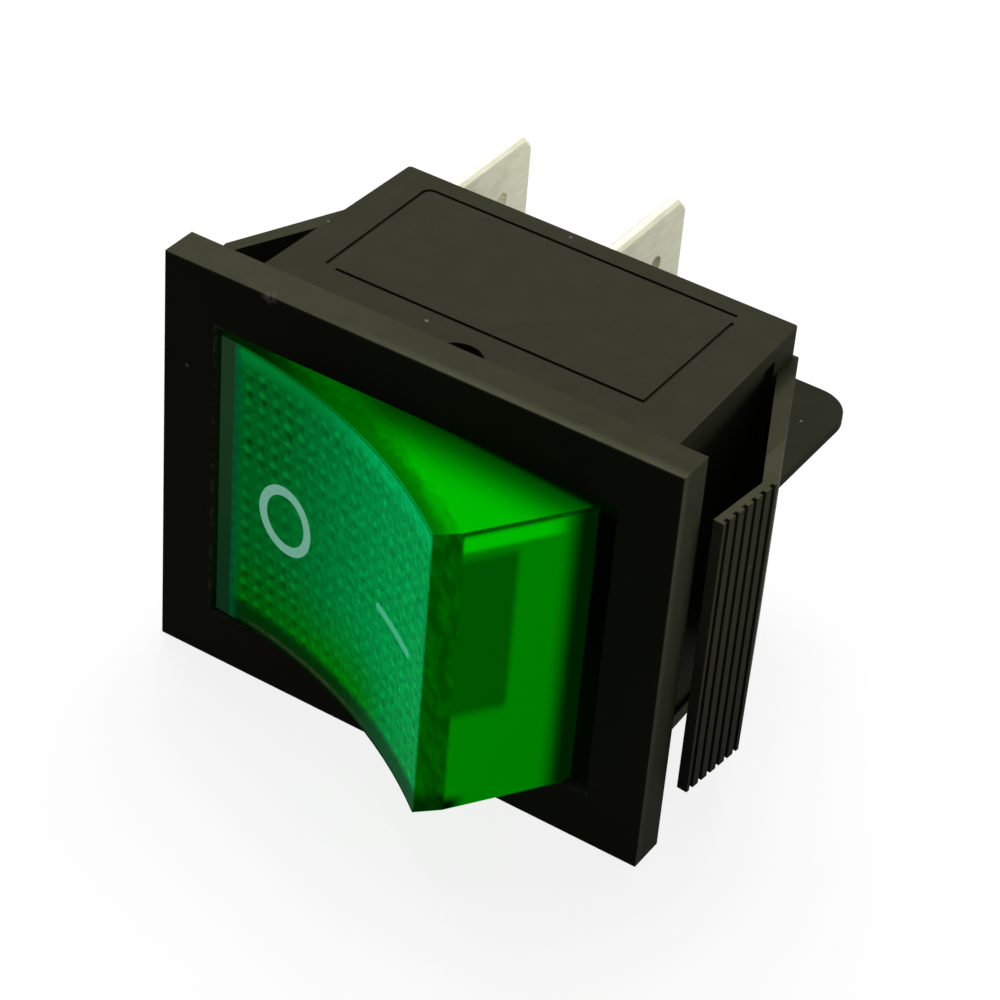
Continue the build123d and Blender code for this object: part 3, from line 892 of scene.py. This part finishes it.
def printed(name, tree, **sizes):
    """Runs a tree on an empty mesh and keeps the plain mesh that it makes."""
    piece = bpy.data.objects.new(name, bpy.data.meshes.new(name))
    bpy.context.scene.collection.objects.link(piece)
    modifier = piece.modifiers.new("print", "NODES")
    modifier.node_group = tree
    for item in tree.interface.items_tree:
        if item.in_out == "INPUT" and item.name in sizes:
            modifier[item.identifier] = sizes[item.name]
    made = bpy.data.meshes.new_from_object(
        piece.evaluated_get(bpy.context.evaluated_depsgraph_get()))
    piece.modifiers.clear()
    piece.data = made
    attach(piece, "rocker_body")
    print(name, len(made.polygons), "faces", [m.name for m in made.materials if m])


printed("mark_o", ring_tree(), Place=O_PLACE, Slope=0.0, Radius=O_RADIUS, Stroke=O_STROKE,
        Tall=O_TALL, Face=nodes["rocker"], Ink=ink)
printed("mark_i", bar_tree(), Place=I_PLACE, Slope=I_SLOPE, Length=I_LENGTH, Stroke=I_STROKE,
        Face=nodes["rocker"], Ink=ink)

# %% [markdown]
# ## Metal and small parts
# The tabs are brass with a thin coat of tin. Tin is a soft, pale, slightly warm metal that is
# neither polished nor dull, with fine draw lines along the strip. Noise squeezed across the
# strip gives those lines.

# %% Tinned brass
SIDES = ("upper", "lower")
TIN = (0.76, 0.76, 0.60)
TIN_DULL = (0.62, 0.615, 0.46)
TIN_LIGHT = 1.08
TIN_FALL_X = (-5.0, 6.0, 0.22)
TIN_METAL = 0.65
TIN_ROUGH = 0.56
TIN_CLOUD_SCALE = 0.5
TIN_CLOUD_FADE = (0.45, 0.7, 0.4)
DRAW_STRETCH = (3.0, 0.3, 3.0)
DRAW_SCALE = 2.2
DRAW_FADE = (0.35, 0.75, 0.5)
DRAW_ROUGH = 0.14
DRAW_STRENGTH = 0.12
SATIN_HEIGHT = 0.02 * MM


def both(name):
    return [name + "_" + side for side in SIDES]


def tinned_brass():
    finish = Finish("tinned_brass")
    point = finish.place()
    x = finish.split(point)[0]
    draw = finish.node("ShaderNodeMapping", {"vector_type": "POINT"},
                       {"Vector": point, "Scale": DRAW_STRETCH})
    draw = finish.noise(draw, DRAW_SCALE, **FRAYED)
    cloud = finish.noise(point, TIN_CLOUD_SCALE, detail=3.0)
    colour = finish.mix(draw.fade(*DRAW_FADE) + cloud.fade(*TIN_CLOUD_FADE), TIN, TIN_DULL)
    colour = finish.scale(colour, TIN_LIGHT - x.fade(*TIN_FALL_X))
    normal = finish.bump(draw, DRAW_STRENGTH, SATIN_HEIGHT)
    return finish.surface(Base_Color=colour, Roughness=TIN_ROUGH + draw * DRAW_ROUGH,
                          Normal=normal, Metallic=TIN_METAL)


dress(tinned_brass(), *both("common_terminal"), *both("load_terminal"))

# %% [markdown]
# The parts inside are never seen in use, yet each one gets its own finish. They differ in
# colour, gloss and the size of their faint clouds, so one recipe serves them all.

# %% Inner parts
FAINT = (0.4, 0.7)
SILVER = (0.80, 0.80, 0.78)
SILVER_DULL = (0.55, 0.55, 0.53)
BRONZE = (0.72, 0.42, 0.25)
BRONZE_DULL = (0.55, 0.30, 0.17)
STEEL = (0.60, 0.60, 0.60)
STEEL_DULL = (0.42, 0.42, 0.43)
LEAD_TIN = (0.75, 0.75, 0.72)
LEAD_TIN_DULL = (0.55, 0.55, 0.52)
ACETAL = (0.80, 0.80, 0.75)
ACETAL_PALE = (0.72, 0.72, 0.66)
LACQUER = (0.55, 0.42, 0.28)
LACQUER_PALE = (0.48, 0.35, 0.22)


def clouded(name, colours, rough, scale, uneven, strength, **inputs):
    """A satin surface with faint clouds of a second colour."""
    finish = Finish(name)
    cloud = finish.noise(finish.place(), scale, **FRAYED)
    colour = finish.mix(cloud.fade(*FAINT), *colours)
    return finish.surface(Base_Color=colour, Roughness=rough + cloud * uneven,
                          Normal=finish.bump(cloud, strength, SATIN_HEIGHT), **inputs)


def plain_metal(name, colours, rough, scale):
    return clouded(name, colours, rough, scale, uneven=0.15, strength=0.1, Metallic=1.0)


def moulded(name, colours, rough, scale):
    return clouded(name, colours, rough, scale, uneven=0.1, strength=0.2)


dress(plain_metal("contact_silver", (SILVER, SILVER_DULL), rough=0.3, scale=2.0),
      *both("fixed_contact"), *both("moving_contact"))
dress(plain_metal("phosphor_bronze", (BRONZE, BRONZE_DULL), rough=0.32, scale=0.8),
      *both("contact_bridge"))
dress(plain_metal("spring_steel", (STEEL, STEEL_DULL), rough=0.28, scale=1.5),
      *both("plunger_spring"))
dress(plain_metal("tinned_lead", (LEAD_TIN, LEAD_TIN_DULL), rough=0.3, scale=1.5),
      *both("lamp_lead"))
dress(moulded("white_acetal", (ACETAL, ACETAL_PALE), rough=0.4, scale=1.2), *both("plunger"))
dress(moulded("resistor_lacquer", (LACQUER, LACQUER_PALE), rough=0.35, scale=1.5),
      "lamp_resistor")

# %% [markdown]
# ## The springs
# Each plunger slides into its tube against a coil spring. A solid coil can't get shorter, so
# the plunger would slide through its turns. A copy, welded into one mesh, takes the solid's place
# on the rocker's body.


# %% Springs
def pressed_coil(side):
    solid = nodes["plunger_spring_" + side]
    slide = joint_named(f"plunger_{side}_slide")
    mesh = solid.data.copy()
    turns = bmesh.new()
    turns.from_mesh(mesh)
    bmesh.ops.remove_doubles(turns, verts=turns.verts, dist=WELD)
    turns.to_mesh(mesh)
    turns.free()
    coil = bpy.data.objects.new("coil_" + side, mesh)
    bpy.context.scene.collection.objects.link(coil)
    axis = Vector(slide["axis"])
    along = [vertex.co.dot(axis) for vertex in mesh.vertices]
    length = max(along) - min(along)
    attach(coil, "rocker_body")
    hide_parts(solid.name)
    1.0 - slide["range_m"][1] / length
    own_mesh(coil)
    print(coil.name, round(length / MM, 2), "mm long,", len(mesh.vertices), "points")


for side in SIDES:
    pressed_coil(side)

# %% [markdown]
# The lamp is a small clear bulb. Its glass lets most light through, and faint clouds in its
# colour and gloss make the bulb show.

# %% Lamp glass
GLASS = (0.9, 0.95, 0.9)
GLASS_DULL = (0.8, 0.86, 0.8)
GLASS_SCALE = 1.0
GLASS_ROUGH = 0.04
GLASS_UNEVEN = 0.05
GLASS_CLEAR = 0.8
GLASS_INDEX = 1.5


def lamp_glass():
    finish = Finish("lamp_glass")
    cloud = finish.noise(finish.place(), GLASS_SCALE)
    colour = finish.mix(cloud.fade(*FAINT), GLASS, GLASS_DULL)
    return finish.surface(Base_Color=colour, Roughness=GLASS_ROUGH + cloud * GLASS_UNEVEN,
                          Transmission_Weight=GLASS_CLEAR, IOR=GLASS_INDEX)


dress(lamp_glass(), "neon_lamp")

# %% [markdown]
# ## Floor and light
# The switch lies on a plain white table in soft light from above and behind. The floor looks
# white to the camera and in reflections, and keeps the soft shadow under the switch. Its paper
# is grey, and it adds a glow that only the view sees, so that it hardly lights the switch.

# %% Floor
FLOOR_SIZE = 4.0
FLOOR_WHITE = (0.22, 0.22, 0.22)
FLOOR_GLOW = 0.86
WHITE = (1.0, 1.0, 1.0)


def open_view(web):
    """1 for what the camera sees, straight, mirrored or through glass, and else 0."""
    seen = web.node("ShaderNodeLightPath", output="Is Camera Ray")
    return seen.most(seen.beside("Is Glossy Ray"), seen.beside("Is Transmission Ray"))


def white_floor():
    finish = Finish("white_floor")
    paper = finish.node("ShaderNodeBsdfDiffuse", {}, {"Color": FLOOR_WHITE}, "BSDF")
    glow = finish.node("ShaderNodeEmission", {},
                       {"Color": WHITE, "Strength": open_view(finish) * FLOOR_GLOW},
                       "Emission")
    return finish.end(finish.node("ShaderNodeAddShader", {}, {0: paper, 1: glow}, "Shader"))


def lay_floor():
    low = solid_box[0][2]
    half = FLOOR_SIZE / 2
    mesh = bpy.data.meshes.new("floor")
    corners = [(-half, -half, low), (half, -half, low), (half, half, low), (-half, half, low)]
    mesh.from_pydata(corners, [], [(0, 1, 2, 3)])
    mesh.materials.append(white_floor())
    floor = bpy.data.objects.new("floor", mesh)
    bpy.context.scene.collection.objects.link(floor)
    print("floor at", round(low / MM, 2), "mm")


lay_floor()

# %% [markdown]
# A large square lamp above and behind the switch is the key light. A smaller one stands low
# behind its right end, and a weak one fills the front from the left. The room is white to look
# at, but lights the switch only a little.

# %% Lights
KEY_LAMP = {"place": (-0.10, 0.16, 0.34), "size": 0.30, "power": 1.25}
SIDE_LAMP = {"place": (0.30, 0.24, 0.05), "size": 0.16, "power": 0.26}
FILL_LAMP = {"place": (-0.1, -0.4, 0.15), "size": 0.3, "power": 0.02}
ROOM_LIGHT = 0.08


def soft_box(name, place, size, power):
    """A square lamp at a place in metres that looks at the switch."""
    light = bpy.data.lights.new(name, "AREA")
    light.size = size
    light.energy = power
    holder = bpy.data.objects.new(name, light)
    turn = (AIM - Vector(place)).to_track_quat("-Z", "Y").to_matrix().to_4x4()
    holder.matrix_world = Matrix.Translation(place) @ turn
    bpy.context.scene.collection.objects.link(holder)


def white_room():
    world = bpy.data.worlds.new("room")
    world.use_nodes = True
    room = Web(world.node_tree)
    room.tree.nodes.clear()
    strength = open_view(room) * (1.0 - ROOM_LIGHT) + ROOM_LIGHT
    back = room.node("ShaderNodeBackground", {}, {"Color": WHITE, "Strength": strength},
                     "Background")
    room.node("ShaderNodeOutputWorld", {}, {"Surface": back}, None)
    bpy.context.scene.world = world


soft_box("key", **KEY_LAMP)
soft_box("side", **SIDE_LAMP)
soft_box("fill", **FILL_LAMP)
white_room()
bpy.context.scene.view_settings.view_transform = "Standard"
print("lights and room are set")
